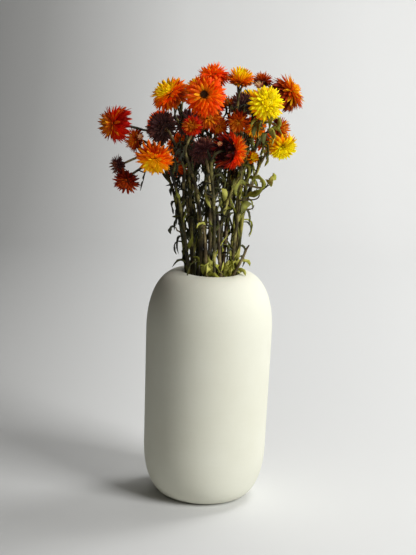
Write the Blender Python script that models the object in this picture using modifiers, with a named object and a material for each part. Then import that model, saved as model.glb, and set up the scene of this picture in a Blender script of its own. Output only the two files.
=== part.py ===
# Dried strawflowers standing in a tall round-shouldered stoneware vase.
# Every flower head, every leafy stem and the vase is its own closed solid.
# Metres, +Z up. The origin is the centre of the vase's flat underside, and -Y is the side seen first.

import math

import bmesh
import bpy
import numpy as np
from mathutils import Matrix, Vector

MM = 0.001

# Driving dimensions of the vase
VASE_HEIGHT = 240 * MM
VASE_RADIUS = 65.5 * MM
VASE_TAPER = 1.5 * MM
BASE_RADIUS = 37 * MM
MOUTH_RADIUS = 29 * MM
SHOULDER_DROP = 62 * MM
FOOT_RISE = 56 * MM
WALL = 5 * MM
LIP_ROUND = 2.2 * MM
FLOOR_Z = 8 * MM
SHOULDER_POWER = 2.25
FOOT_POWER = 2.15
VASE_SIDES = 32

# How the heads are made, as shares of a head's radius or of a bract's length
SEAT_DEPTH = 0.30
CROWN_HEIGHT = 0.50
NOTCH_SHARE = 0.46
UNEVEN_TIPS = 0.06
TURN_OF_NEXT_HEAD = 0.7

# Driving dimensions of the stems and leaves
STEM_FOOT_RADIUS = 1.9 * MM
STEM_TIP_RADIUS = 1.15 * MM
SEAT_RADIUS = 1.9 * MM
GAP = 0.3 * MM
STEM_SPACING = 5.6 * MM
POINT_STEP = 6 * MM
MOUTH_REACH = MOUTH_RADIUS - 3.4 * MM
MOUTH_DRAW = 0.40
LEAN_AT_MOUTH = 0.26
RISE_BEFORE_BEND = 0.86
BEND_AT_HEAD = 0.20
SETTLE_ROUNDS = 90
LAST_ROUNDS = 12
LARGEST_MOVE = 1.2 * MM
SMOOTHING = 0.30
FORK_BELOW = 88 * MM
FORK_ABOVE_MOUTH = 22 * MM

LEAF_THICKNESS = 0.8 * MM
LEAF_STEPS = 4
LEAF_HEIGHTS = [9, 24, 41, 60, 80, 102]
LEAVES_ON_STEM = 4
LEAF_SIZES = (1.0, 0.78, 0.6)
LEAF_CURLS = (20, 75, -20)
LEAF_WAYS = 16

# Each bloom form is a list of whorls of bracts from the outermost in: the angle in degrees that the
# bracts stand above the plane of the head, and their length as a share of the head's radius.
FORMS = {
    "open": [(-24, 0.98), (4, 0.96), (28, 0.78), (52, 0.52)],
    "cup": [(12, 0.95), (36, 0.98), (56, 0.88), (72, 0.70)],
    "cushion": [(-52, 1.00), (-18, 0.98), (22, 0.86), (64, 0.62)],
    "disc": [(-58, 1.00), (-26, 0.98), (4, 0.98), (32, 0.62)],
    "small": [(-14, 0.95), (24, 0.90), (58, 0.72)],
    "bud": [(40, 0.80), (62, 0.95), (78, 0.90)],
}
POINTS = {"open": 8, "cup": 8, "cushion": 8, "disc": 9, "small": 8, "bud": 6}

# Heads: name, stem, place in millimetres, the way the head faces, radius in millimetres, form, colour.
# The first head of a stem ends its main shoot, and the others end side shoots of it.
HEADS = [
    ("head_far_left", "stem_a", (-106, -10, 389), (-1.0, -0.35, 0.1), 21, "cushion", "scarlet"),
    ("head_low_brown", "stem_b", (-40, 0, 345), (-0.3, -0.8, -0.35), 13, "small", "russet"),
    ("head_left_brown", "stem_c", (-84, 8, 372), (-1.0, -0.3, 0.15), 15, "small", "russet"),
    ("head_low_left", "stem_c", (-90, -18, 332), (-0.45, -0.8, -0.75), 16, "small", "maroon"),
    ("head_low_left_small", "stem_c", (-100, 4, 345), (-0.9, -0.4, -0.3), 12, "small", "plum"),
    ("head_left_gold", "stem_d", (-62, -40, 358), (-0.15, -0.9, -0.7), 21, "open", "amber"),
    ("head_left_dark", "stem_c", (-55, -4, 386), (-0.7, 0.8, 0.2), 20, "cup", "plum"),
    ("head_top_left", "stem_e", (-50, -12, 423), (-0.55, -0.6, 0.9), 22, "open", "amber"),
    ("head_eye", "stem_f", (-14, -38, 424), (-0.15, -1.0, 0.35), 23, "open", "orange"),
    ("head_top", "stem_g", (-8, 14, 440), (-0.45, 0.3, 0.9), 19, "cushion", "orange"),
    ("head_low_orange", "stem_f", (-9, -20, 401), (0.3, -0.9, 0.0), 16, "small", "orange"),
    ("head_red", "stem_h", (-25, -48, 394), (-0.1, -1.0, 0.05), 12, "small", "scarlet"),
    ("head_top_gold", "stem_i", (21, 0, 438), (0.15, -0.35, 1.0), 16, "cup", "gold"),
    ("head_top_brown", "stem_j", (44, 27, 436), (0.0, 0.3, 1.0), 13, "small", "russet"),
    ("head_yellow", "stem_k", (48, -28, 418), (0.3, -1.0, 0.35), 20, "open", "yellow"),
    ("head_right_top", "stem_l", (73, 3, 428), (1.0, -0.05, 0.68), 21, "disc", "gold"),
    ("head_right_brown", "stem_j", (59, 31, 420), (0.5, 0.8, 0.2), 15, "small", "maroon"),
    ("head_mid_dark", "stem_m", (24, 20, 410), (-0.3, 0.9, 0.4), 16, "cup", "plum"),
    ("head_mid_left", "stem_i", (20, -21, 397), (-0.1, -1.0, -0.5), 14, "small", "russet"),
    ("head_mid_right", "stem_k", (38, -2, 391), (0.3, -0.9, -0.5), 14, "small", "amber"),
    ("head_right_red", "stem_n", (64, 14, 388), (1.0, -0.4, 0.1), 15, "small", "russet"),
    ("head_right_yellow", "stem_n", (66, -26, 373), (0.35, -0.8, -0.75), 17, "open", "yellow"),
    ("head_centre_dark", "stem_o", (-13, -20, 369), (-0.3, 0.35, 0.9), 19, "cushion", "plum"),
    ("head_red_rim", "stem_p", (16, -48, 371), (0.9, 0.65, -0.15), 21, "cushion", "scarlet"),
    ("head_small_gold", "stem_p", (36, -14, 361), (0.35, -1.0, 0.35), 10, "bud", "gold"),
    ("head_bud", "stem_m", (10, 8, 413), (-0.3, -0.5, 0.8), 9, "bud", "russet"),
    ("head_under_left", "stem_e", (-52, 41, 415), (-0.5, 0.6, 0.3), 15, "small", "maroon"),
    ("head_mid_rust", "stem_o", (1, -4, 391), (0.2, -0.9, 0.1), 12, "small", "orange"),
    ("head_back_left", "stem_q", (-62, 62, 384), (-0.7, 0.9, 0.3), 17, "open", "orange"),
    ("head_back_low", "stem_r", (-38, 55, 362), (-0.3, 1.0, 0.0), 17, "open", "amber"),
    ("head_back_centre", "stem_s", (-8, 58, 404), (0.0, 1.0, 0.5), 18, "cup", "scarlet"),
    ("head_back_right", "stem_t", (34, 72, 410), (0.4, 1.0, 0.6), 17, "open", "yellow"),
    ("head_back_side", "stem_u", (50, 50, 372), (0.7, 0.9, 0.0), 15, "small", "amber"),
    ("head_back_under", "stem_s", (10, 52, 366), (0.1, 1.0, -0.2), 13, "small", "plum"),
    ("head_back_top", "stem_r", (-22, 46, 424), (-0.3, 0.7, 0.8), 16, "cushion", "gold"),
    ("head_dark_left", "stem_q", (-30, 25, 388), (0.2, 0.8, 0.1), 18, "cup", "plum"),
    ("head_dark_low", "stem_h", (-31, 16, 358), (-0.2, 0.8, 0.2), 13, "cup", "plum"),
]

# Heads whose stem bends over a longer or shorter way than the others, as a share of its rise.
OWN_BENDS = {"head_far_left": 0.46, "head_left_brown": 0.30, "head_red_rim": 0.32}

# Side shoots that leave their stem higher than the others do, in millimetres.
FORK_HEIGHTS = {"head_low_left": 352, "head_low_left_small": 358}

COLOURS = {
    "scarlet": (0.52, 0.03, 0.01),
    "maroon": (0.20, 0.02, 0.02),
    "plum": (0.06, 0.02, 0.03),
    "russet": (0.26, 0.05, 0.01),
    "orange": (0.72, 0.15, 0.01),
    "amber": (0.75, 0.28, 0.01),
    "gold": (0.78, 0.40, 0.02),
    "yellow": (0.85, 0.66, 0.02),
}


def material(name, colour, roughness):
    made = bpy.data.materials.new(name)
    made.use_nodes = True
    shader = made.node_tree.nodes["Principled BSDF"]
    shader.inputs["Base Color"].default_value = (*colour, 1.0)
    shader.inputs["Roughness"].default_value = roughness
    shader.inputs["Metallic"].default_value = 0.0
    return made


def collection(name):
    made = bpy.data.collections.new(name)
    bpy.context.scene.collection.children.link(made)
    return made


def formed_ball(name, sides, rings, place):
    """A closed ball of sides x rings, whose vertex on ring i and side j goes to place(i, j).
    Ring 0 is the lower pole and the last ring is the upper one."""
    shape = bmesh.new()
    bmesh.ops.create_uvsphere(shape, u_segments=sides, v_segments=rings, radius=1.0)
    for vertex in shape.verts:
        x, y, z = vertex.co
        ring = round((1 - math.acos(max(-1.0, min(1.0, z))) / math.pi) * rings)
        side = round(math.atan2(y, x) / math.tau * sides) % sides
        vertex.co = place(ring, side)
    mesh = bpy.data.meshes.new(name)
    shape.to_mesh(mesh)
    shape.free()
    return bpy.data.objects.new(name, mesh)


# The vase: one turned wall, closed at the foot and open at the mouth

def corner(low_radius, high_radius, low_z, high_z, power, steps):
    """Points of a rounded corner from the wider radius to the narrower one, as a superellipse."""
    points = []
    for step in range(steps + 1):
        angle = math.pi / 2 * step / steps
        out = math.cos(angle) ** (2 / power)
        up = math.sin(angle) ** (2 / power)
        points.append((low_radius + (high_radius - low_radius) * out, low_z + (high_z - low_z) * up))
    return points


def vase_profile():
    """(radius, height) from the top of the outside down, across the underside, and up the inside."""
    top = VASE_HEIGHT
    low_radius = VASE_RADIUS - VASE_TAPER
    shoulder = corner(MOUTH_RADIUS + LIP_ROUND, VASE_RADIUS, top - SHOULDER_DROP, top, SHOULDER_POWER, 7)
    foot = corner(BASE_RADIUS, low_radius, FOOT_RISE, 0.0, FOOT_POWER, 6)
    inner_shoulder = corner(MOUTH_RADIUS, VASE_RADIUS - WALL, top - SHOULDER_DROP, top - WALL,
                            SHOULDER_POWER, 4)
    inner_foot = corner(BASE_RADIUS, low_radius - WALL, FOOT_RISE, FLOOR_Z, FOOT_POWER, 3)
    axis = 0.0
    outside = shoulder[::-1] + foot
    inside = inner_foot[::-1] + inner_shoulder
    lip = [(MOUTH_RADIUS, top - LIP_ROUND), (MOUTH_RADIUS + 0.35 * LIP_ROUND, top - 0.3 * LIP_ROUND)]
    return outside + [(axis, 0.0), (axis, FLOOR_Z)] + inside + lip


def make_vase(home):
    profile = vase_profile()
    shape = bmesh.new()
    ring = [shape.verts.new((radius, 0.0, height)) for radius, height in profile]
    for upper, lower in zip(ring, ring[1:]):
        if upper.co.x > 0 or lower.co.x > 0:
            shape.edges.new((upper, lower))
    shape.edges.new((ring[-1], ring[0]))
    mesh = bpy.data.meshes.new("vase")
    shape.to_mesh(mesh)
    shape.free()
    vase = bpy.data.objects.new("vase", mesh)
    home.objects.link(vase)
    screw = vase.modifiers.new("turned", "SCREW")
    screw.steps = screw.render_steps = VASE_SIDES
    screw.use_merge_vertices = True
    screw.merge_threshold = 0.02 * MM
    screw.use_smooth_shade = True
    mesh.materials.append(material("matt_stoneware", (0.79, 0.78, 0.68), 0.75))
    return vase


# The heads: whorls of pointed bracts round a domed core

def head_rings(radius, form):
    """The head's rings from its seat up, each as (radius of a tip, height of a tip, radius and height of a
    notch, whether the even sides are the tips). A plain ring has the same radius and height twice."""
    whorls = FORMS[form]
    core_wide, core_narrow = 0.34 * radius, 0.17 * radius
    core_low, core_high = 0.12 * radius, 0.42 * radius
    rings = [(SEAT_RADIUS, 0.0, SEAT_RADIUS, 0.0, True)]
    for number, (angle, length) in enumerate(whorls):
        share = (number + 0.5) / len(whorls)
        root = core_wide + (core_narrow - core_wide) * share
        height = core_low + (core_high - core_low) * share
        out, up = math.cos(math.radians(angle)), math.sin(math.radians(angle))
        reach = length * radius - root * out
        notch = NOTCH_SHARE * reach
        rings.append((root + reach * out, height + reach * up, root + notch * out, height + notch * up,
                      number % 2 == 0))
        above = (number + 1) / len(whorls)
        root = core_wide + (core_narrow - core_wide) * above
        height = core_low + (core_high - core_low) * above
        rings.append((root, height, root, height, True))
    return rings


def head_frame(place, facing):
    """Turns a head so that its seat is below its middle, looking the way that it faces."""
    return Matrix.Translation(place) @ facing.to_track_quat("Z", "Y").to_matrix().to_4x4()


def head_seat(row):
    """Where the stem meets the head, and the way that the head faces."""
    facing = Vector(row[3]).normalized()
    return Vector(row[2]) * MM - facing * SEAT_DEPTH * row[4] * MM, facing


def make_head(row, number, home, paint):
    name, radius, form, colour = row[0], row[4] * MM, row[5], row[6]
    rings = head_rings(radius, form)
    sides = 2 * POINTS[form]
    turn = TURN_OF_NEXT_HEAD * number
    crown = CROWN_HEIGHT * radius

    def place(ring, side):
        if ring == 0:
            return Vector((0, 0, 0))
        if ring > len(rings):
            return Vector((0, 0, crown))
        tip_radius, tip_height, notch_radius, notch_height, even = rings[ring - 1]
        is_tip = (side % 2 == 0) == even
        out, up = (tip_radius, tip_height) if is_tip else (notch_radius, notch_height)
        if is_tip and tip_radius != notch_radius:
            uneven = UNEVEN_TIPS * radius * math.sin(2.4 * side + 1.7 * ring + number)
            out, up = out + uneven, up + 0.8 * uneven
        angle = math.tau * side / sides + turn
        return Vector((out * math.cos(angle), out * math.sin(angle), up))

    head = formed_ball(name, sides, len(rings) + 1, place)
    head.matrix_world = head_frame(*head_seat(row))
    head.data.materials.append(paint[colour])
    home.objects.link(head)
    return head


# The stems' routes: each runs from its head down through the mouth to the vase's floor

def bezier(a, b, c, d, step):
    """Points of a cubic curve, about a step apart."""
    count = max(4, round(((b - a).length + (c - b).length + (d - c).length) / step))
    points = []
    for number in range(count + 1):
        t = number / count
        points.append(a * (1 - t) ** 3 + b * 3 * t * (1 - t) ** 2 + c * 3 * t * t * (1 - t) + d * t ** 3)
    return points


def main_route(row):
    seat, facing = head_seat(row)
    start = seat - facing * GAP
    slot = Vector((start.x, start.y, 0)) * MOUTH_DRAW
    if slot.length > MOUTH_REACH:
        slot *= MOUTH_REACH / slot.length
    mouth = Vector((slot.x, slot.y, VASE_HEIGHT))
    rise = start.z - mouth.z
    lean = Vector((start.x - mouth.x, start.y - mouth.y, 0)) * LEAN_AT_MOUTH
    upper = bezier(start, start - facing * OWN_BENDS.get(row[0], BEND_AT_HEAD) * rise,
                   mouth + lean + Vector((0, 0, RISE_BEFORE_BEND * rise)), mouth, POINT_STEP)
    foot = Vector((slot.x * 1.05, slot.y * 1.05, FLOOR_Z + GAP + 0.3 * MM))
    lower = [mouth.lerp(foot, n / 12) for n in range(1, 13)]
    return upper + lower


def side_route(row, main):
    """A side shoot, from its head to the fork on the main stem."""
    seat, facing = head_seat(row)
    start = seat - facing * GAP
    fork_z = max(start.z - FORK_BELOW, VASE_HEIGHT + FORK_ABOVE_MOUTH)
    fork_z = FORK_HEIGHTS.get(row[0], fork_z / MM) * MM
    fork = min(main, key=lambda p: abs(p.z - fork_z))
    rise = (start - fork).length
    return bezier(start, start - facing * 0.28 * rise, fork + Vector((0, 0, 0.40 * rise)), fork, POINT_STEP)


def settle(routes, mains):
    """Moves the routes apart sideways until each has room, as stems do when they are pushed into a mouth.
    The ends of a route stay where they are, and a side shoot's foot follows its main stem."""
    names = list(routes)
    points = np.array([p for name in names for p in routes[name]])
    owner = np.concatenate([np.full(len(routes[name]), n) for n, name in enumerate(names)])
    starts = np.cumsum([0] + [len(routes[name]) for name in names])
    family = np.array([names.index(mains[name]) for name in names])[owner]
    from_head = np.concatenate([np.arange(len(routes[name])) for name in names])
    free = np.clip((from_head - 1) / 3.0, 0, 1)
    for n, name in enumerate(names):
        if mains[name] != name:
            free[starts[n + 1] - 1] = 0
    middles = np.array([Vector(row[2]) * MM for row in HEADS])
    reach = np.array([row[4] * MM * 0.98 + 2.0 * MM for row in HEADS])
    own_head = owner[:, None] == np.arange(len(HEADS))[None, :]
    forks = {}
    for n, name in enumerate(names):
        if mains[name] != name:
            main = names.index(mains[name])
            span = points[starts[main]:starts[main + 1]]
            foot = points[starts[n + 1] - 1]
            forks[n] = starts[main] + int(np.argmin(np.abs(span[:, 2] - foot[2])))
    for turn in range(SETTLE_ROUNDS):
        apart = points[:, None, :] - points[None, :, :]
        flat = np.hypot(apart[..., 0], apart[..., 1])
        near = (np.abs(apart[..., 2]) < 0.7 * POINT_STEP) & (flat < STEM_SPACING)
        near &= (owner[:, None] != owner[None, :])
        near &= (family[:, None] != family[None, :]) | (flat > STEM_SPACING * 0.55)
        push = np.where(near, 0.5 * (STEM_SPACING - flat) / np.maximum(flat, 0.2 * MM), 0.0)
        move = (apart[..., :2] * push[..., None]).sum(1)
        size = np.hypot(move[:, 0], move[:, 1])
        move *= (np.minimum(size, LARGEST_MOVE) / np.maximum(size, 1e-9))[:, None]
        away = points[:, None, :] - middles[None, :, :]
        gap = np.linalg.norm(away, axis=2)
        inside = np.where((gap < reach) & ~own_head, (reach - gap), 0.0)
        move += (away[..., :2] / np.maximum(gap, MM)[..., None] * inside[..., None]).sum(1) * 0.5
        points[:, :2] += move * free[:, None]
        if turn < SETTLE_ROUNDS - LAST_ROUNDS:
            middle = 0.5 * (points[:-2] + points[2:]) - points[1:-1]
            inner = (owner[:-2] == owner[2:]) & (free[1:-1] > 0)
            points[1:-1][inner] += SMOOTHING * middle[inner]
        low = points[:, 2] < VASE_HEIGHT + 4 * MM
        out = np.hypot(points[:, 0], points[:, 1])
        shrink = np.where(low & (out > MOUTH_REACH), MOUTH_REACH / np.maximum(out, MM), 1.0)
        points[:, :2] *= shrink[:, None]
        for n, at in forks.items():
            points[starts[n + 1] - 1] = points[at]
    return {name: [Vector(p) for p in points[starts[n]:starts[n + 1]]] for n, name in enumerate(names)}


def plan_routes():
    """Every head's route, by the head's name, and the head that ends the main shoot of its stem."""
    leaders, routes, mains = {}, {}, {}
    for row in HEADS:
        leader = leaders.setdefault(row[1], row[0])
        mains[row[0]] = leader
        routes[row[0]] = main_route(row) if leader == row[0] else side_route(row, routes[leader])
    return settle(routes, mains), mains


# The leaves: narrow blades that dried and curled, set round the stems where there is room

def leaf_line(root, out, length, curl):
    """The midrib of a leaf, as points from inside its stem to its tip."""
    points = [root]
    for step in range(LEAF_STEPS):
        angle = math.radians(62 - curl * step / (LEAF_STEPS - 1))
        way = out * math.cos(angle) + Vector((0, 0, math.sin(angle)))
        points.append(points[-1] + way * length / LEAF_STEPS)
    return points


def leaf_half_width(share, width):
    return 0.5 * width * max(0.25, math.sin(math.pi * min(1.0, 0.12 + 0.86 * share))) if share < 1 else 0.0


class Room:
    """What is already in place, as points with the room that each needs."""

    def __init__(self, routes):
        rows = [(p, name, STEM_FOOT_RADIUS + 0.4 * MM) for name, route in routes.items() for p in route]
        self.points = np.array([tuple(p) for p, _, _ in rows])
        self.names = np.array([name for _, name, _ in rows])
        self.room = np.array([room for _, _, room in rows])
        self.middles = np.array([Vector(row[2]) * MM for row in HEADS])
        self.reach = np.array([row[4] * MM * 1.02 for row in HEADS])

    def clear(self, line, width, stem_names):
        """Whether a leaf along this line clears the other stems, the leaves, the heads and the vase."""
        for step, point in enumerate(line):
            half = leaf_half_width(step / LEAF_STEPS, width) + 0.8 * MM
            spot = np.array(point)
            if (np.linalg.norm(self.middles - spot, axis=1) < self.reach + half).any():
                return False
            if point.z < VASE_HEIGHT + 5 * MM:
                return False
            others = ~np.isin(self.names, stem_names)
            gap = np.linalg.norm(self.points - spot, axis=1)
            if (gap[others] < self.room[others] + half + 0.6 * MM).any():
                return False
            own = np.isin(self.names, stem_names) & (gap < self.room + half)
            if step > 1 and own.any():
                return False
        return True

    def take(self, line, width):
        added = [0.5 * (a + b) for a, b in zip(line, line[1:])] + line[1:]
        halves = [leaf_half_width((n + 0.5) / LEAF_STEPS, width) for n in range(LEAF_STEPS)]
        halves += [leaf_half_width(n / LEAF_STEPS, width) for n in range(1, LEAF_STEPS + 1)]
        self.points = np.vstack([self.points, [tuple(p) for p in added]])
        self.names = np.concatenate([self.names, ["leaf"] * len(added)])
        self.room = np.concatenate([self.room, [half + 0.4 * MM for half in halves]])


def leaf_plan(routes, mains):
    """For each main stem, its leaves as (midrib, width): each takes the first way round with room for it."""
    room = Room(routes)
    plan = {name: [] for name in routes if mains[name] == name}
    for level, height in enumerate(LEAF_HEIGHTS):
        for number, name in enumerate(plan):
            if len(plan[name]) >= LEAVES_ON_STEM:
                continue
            route = routes[name]
            target = VASE_HEIGHT + height * MM + 3.0 * (number % 4) * MM
            root = min(route, key=lambda p: abs(p.z - target))
            if root.z > route[0].z - 26 * MM:
                continue
            own = [n for n in routes if mains[n] == name]
            found = None
            for size in LEAF_SIZES:
                length = (24 + 5 * ((number + level) % 3)) * MM * size
                width = (6.4 + 0.9 * ((2 * number + level) % 3)) * MM * size
                for attempt in range(LEAF_WAYS):
                    angle = 2.4 * (number * 3 + level) + math.tau * attempt / LEAF_WAYS
                    curl = LEAF_CURLS[(attempt + level) % 3]
                    out = Vector((math.cos(angle), math.sin(angle), 0))
                    line = leaf_line(root, out, length, curl)
                    if room.clear(line, width, own):
                        found = (line, width)
                        break
                if found:
                    break
            if found:
                plan[name].append(found)
                room.take(*found)
    return plan


def make_leaf(name, line, width):
    """A blade from its sunken root to its tip: four-sided rings, flat across and thin through."""

    def place(ring, side):
        point = line[ring]
        if ring in (0, LEAF_STEPS):
            return point
        along = (line[ring + 1] - line[ring - 1]).normalized()
        across = along.cross(Vector((0, 0, 1)))
        if across.length < 0.05:
            across = Vector((1, 0, 0))
        across.normalize()
        normal = across.cross(along)
        half = leaf_half_width(ring / LEAF_STEPS, width)
        turn = math.tau * side / 4
        fold = 0.18 * half * abs(math.cos(turn))
        return (point + across * half * math.cos(turn) + normal * 0.5 * LEAF_THICKNESS * math.sin(turn)
                + normal * fold)

    return formed_ball(name, 4, LEAF_STEPS, place)


# The stem solids: tubes along the routes, joined with their leaves

def thinned(route):
    """Fewer points of a route: closer together where it shows, and only a few inside the vase."""
    upper = [p for p in route if p.z >= VASE_HEIGHT - 2 * MM]
    lower = [p for p in route if p.z < VASE_HEIGHT - 2 * MM]
    kept = upper[:2] + upper[3:-1:3] + upper[-1:]
    if lower:
        kept += [lower[0], lower[len(lower) // 2], lower[-1]]
    return kept


def tube(name, route, tip_radius, foot_radius):
    """A closed mesh tube along a route, thinner at its head than at its foot."""
    curve = bpy.data.curves.new(name, "CURVE")
    curve.dimensions = "3D"
    curve.bevel_depth = 1.0
    curve.bevel_resolution = 0
    curve.use_fill_caps = True
    spline = curve.splines.new("POLY")
    spline.points.add(len(route) - 1)
    for number, point in enumerate(route):
        spline.points[number].co = (*point, 1.0)
        share = number / (len(route) - 1)
        spline.points[number].radius = tip_radius + (foot_radius - tip_radius) * share
    guide = bpy.data.objects.new(name, curve)
    bpy.context.scene.collection.objects.link(guide)
    bpy.context.view_layer.update()
    mesh = bpy.data.meshes.new_from_object(guide.evaluated_get(bpy.context.evaluated_depsgraph_get()))
    bpy.data.objects.remove(guide)
    shape = bmesh.new()
    shape.from_mesh(mesh)
    bmesh.ops.remove_doubles(shape, verts=shape.verts, dist=0.01 * MM)
    bmesh.ops.recalc_face_normals(shape, faces=shape.faces)
    shape.to_mesh(mesh)
    shape.free()
    return bpy.data.objects.new(name, mesh)


def joined(body, others):
    """One solid from a body and what grows from it."""
    group = collection("joining")
    for other in others:
        group.objects.link(other)
    union = body.modifiers.new("grown together", "BOOLEAN")
    union.operation = "UNION"
    union.operand_type = "COLLECTION"
    union.collection = group
    union.solver = "EXACT"
    bpy.context.view_layer.update()
    mesh = bpy.data.meshes.new_from_object(body.evaluated_get(bpy.context.evaluated_depsgraph_get()))
    body.modifiers.clear()
    body.data = mesh
    for other in others:
        bpy.data.objects.remove(other)
    bpy.data.collections.remove(group)
    return body


def make_stems(home, routes, mains, leaves, paint):
    middle_radius = 0.5 * (STEM_FOOT_RADIUS + STEM_TIP_RADIUS)
    for row in HEADS:
        name, stem = row[0], row[1]
        if mains[name] != name:
            continue
        body = tube(stem, thinned(routes[name]), STEM_TIP_RADIUS, STEM_FOOT_RADIUS)
        home.objects.link(body)
        grown = [tube("shoot", thinned(routes[other]), STEM_TIP_RADIUS, 0.9 * middle_radius)
                 for other in routes if mains[other] == name and other != name]
        grown += [make_leaf("leaf", line, width) for line, width in leaves[name]]
        joined(body, grown)
        body.data.materials.clear()
        body.data.materials.append(paint)


def main():
    for old in list(bpy.data.objects):
        bpy.data.objects.remove(old)
    home = collection("strawflowers_in_vase")
    make_vase(home)
    paint = {name: material(name + "_bracts", colour, 0.5) for name, colour in COLOURS.items()}
    for number, row in enumerate(HEADS):
        make_head(row, number, home, paint)
    routes, mains = plan_routes()
    leaves = leaf_plan(routes, mains)
    make_stems(home, routes, mains, leaves, material("dry_stem", (0.16, 0.17, 0.06), 0.7))


main()
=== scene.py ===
# Dried strawflowers standing in a tall round-shouldered stoneware vase.
# Everything is in metres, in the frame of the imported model: +Z up, the vase's underside on z = 0,
# and -Y towards the camera.

import math
import random
from collections import namedtuple

import bmesh
import bpy
import numpy as np
from mathutils import Matrix, Vector


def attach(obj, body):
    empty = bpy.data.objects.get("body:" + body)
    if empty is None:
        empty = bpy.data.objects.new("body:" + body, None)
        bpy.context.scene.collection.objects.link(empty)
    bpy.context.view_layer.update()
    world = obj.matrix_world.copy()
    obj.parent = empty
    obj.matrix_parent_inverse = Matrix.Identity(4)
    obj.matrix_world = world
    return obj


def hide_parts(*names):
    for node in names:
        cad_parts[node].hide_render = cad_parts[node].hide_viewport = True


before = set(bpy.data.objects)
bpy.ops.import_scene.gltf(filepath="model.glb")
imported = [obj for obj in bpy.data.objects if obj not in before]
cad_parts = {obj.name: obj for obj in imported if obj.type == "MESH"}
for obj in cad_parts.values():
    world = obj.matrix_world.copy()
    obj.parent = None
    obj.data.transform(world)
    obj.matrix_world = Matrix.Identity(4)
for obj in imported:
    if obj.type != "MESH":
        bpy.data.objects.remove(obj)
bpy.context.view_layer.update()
MM = 0.001

# The vase: thrown pale stoneware, matt outside and in, with a small rounded lip.
# The foot's disc is drawn up into the wall, over the lip and down to the inner floor.

VASE_HEIGHT = 240 * MM
VASE_RADIUS = 65.5 * MM
VASE_TAPER = 1.5 * MM
BASE_RADIUS = 37 * MM
MOUTH_RADIUS = 29 * MM
SHOULDER_DROP = 62 * MM
FOOT_RISE = 56 * MM
WALL = 5 * MM
LIP_ROUND = 2.2 * MM
FLOOR_Z = 8 * MM
SHOULDER_POWER = 2.25
FOOT_POWER = 2.15
VASE_SIDES = 144
LIP_STEPS = 6


class Socket:
    """One output of a material's nodes, on which arithmetic adds Math nodes."""

    def __init__(self, graph, plug):
        self.graph = graph
        self.plug = plug

    def math(self, operation, first, second):
        return self.graph.node("ShaderNodeMath", {"operation": operation}, {0: first, 1: second})

    def __add__(self, other):
        return self.math("ADD", self, other)

    def __sub__(self, other):
        return self.math("SUBTRACT", self, other)

    def __rsub__(self, other):
        return self.math("SUBTRACT", other, self)

    def __mul__(self, other):
        return self.math("MULTIPLY", self, other)

    def __pow__(self, other):
        return self.math("POWER", self, other)

    __radd__ = __add__
    __rmul__ = __mul__


class Finish:
    """A material with its Principled shader and the nodes that feed it."""

    def __init__(self, name, **values):
        self.material = bpy.data.materials.new(name)
        self.material.use_nodes = True
        self.tree = self.material.node_tree
        self.shader = self.tree.nodes["Principled BSDF"]
        self.feed(values)

    def node(self, kind, settings, inputs, output=0):
        made = self.tree.nodes.new(kind)
        for key, value in settings.items():
            if key == "stops":
                ramp = made.color_ramp
                while len(ramp.elements) < len(value):
                    ramp.elements.new(0.5)
                for element, (place, colour) in zip(ramp.elements, value):
                    element.position = place
                    element.color = (*colour, 1.0)
            else:
                setattr(made, key, value)
        self.link(made, inputs)
        return Socket(self, made.outputs[output])

    def link(self, made, inputs):
        for key, value in inputs.items():
            if isinstance(value, Socket):
                self.tree.links.new(value.plug, made.inputs[key])
            else:
                made.inputs[key].default_value = value

    def feed(self, inputs):
        """Sets or links the shader's own sockets, by their names with _ for a space."""
        self.link(self.shader, {key.replace("_", " "): value for key, value in inputs.items()})

    def place(self):
        return self.node("ShaderNodeTexCoord", {}, {}, "Object")

    def attribute(self, name):
        return self.node("ShaderNodeAttribute", {"attribute_name": name}, {}, "Fac")

    def chart(self, name, stretch=(1.0, 1.0, 1.0)):
        """The piece's UV map of that name, stretched along and across."""
        return self.node("ShaderNodeMapping", {}, {
            "Vector": self.node("ShaderNodeUVMap", {"uv_map": name}, {}), "Scale": stretch})

    def noise(self, vector, scale, detail=3.0, roughness=0.55):
        return self.node("ShaderNodeTexNoise", {},
                         {"Vector": vector, "Scale": scale, "Detail": detail, "Roughness": roughness})

    def ramp(self, value, *stops):
        return self.node("ShaderNodeValToRGB", {"stops": stops}, {"Fac": value})

    def mix(self, factor, first, second, blend="MIX"):
        first = (*first, 1.0) if isinstance(first, tuple) else first
        second = (*second, 1.0) if isinstance(second, tuple) else second
        return self.node("ShaderNodeMix", {"data_type": "RGBA", "blend_type": blend},
                         {0: factor, 6: first, 7: second}, 2)

    def bump(self, height, strength, distance):
        self.feed({"Normal": self.node("ShaderNodeBump", {}, {
            "Height": height, "Strength": strength, "Distance": distance})})


def corner(low_radius, high_radius, low_z, high_z, power, steps):
    """Points of a rounded corner from the wider radius to the narrower one, as a superellipse."""
    points = []
    for step in range(steps + 1):
        angle = math.pi / 2 * step / steps
        out = math.cos(angle) ** (2 / power)
        up = math.sin(angle) ** (2 / power)
        points.append((low_radius + (high_radius - low_radius) * out, low_z + (high_z - low_z) * up))
    return points


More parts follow.
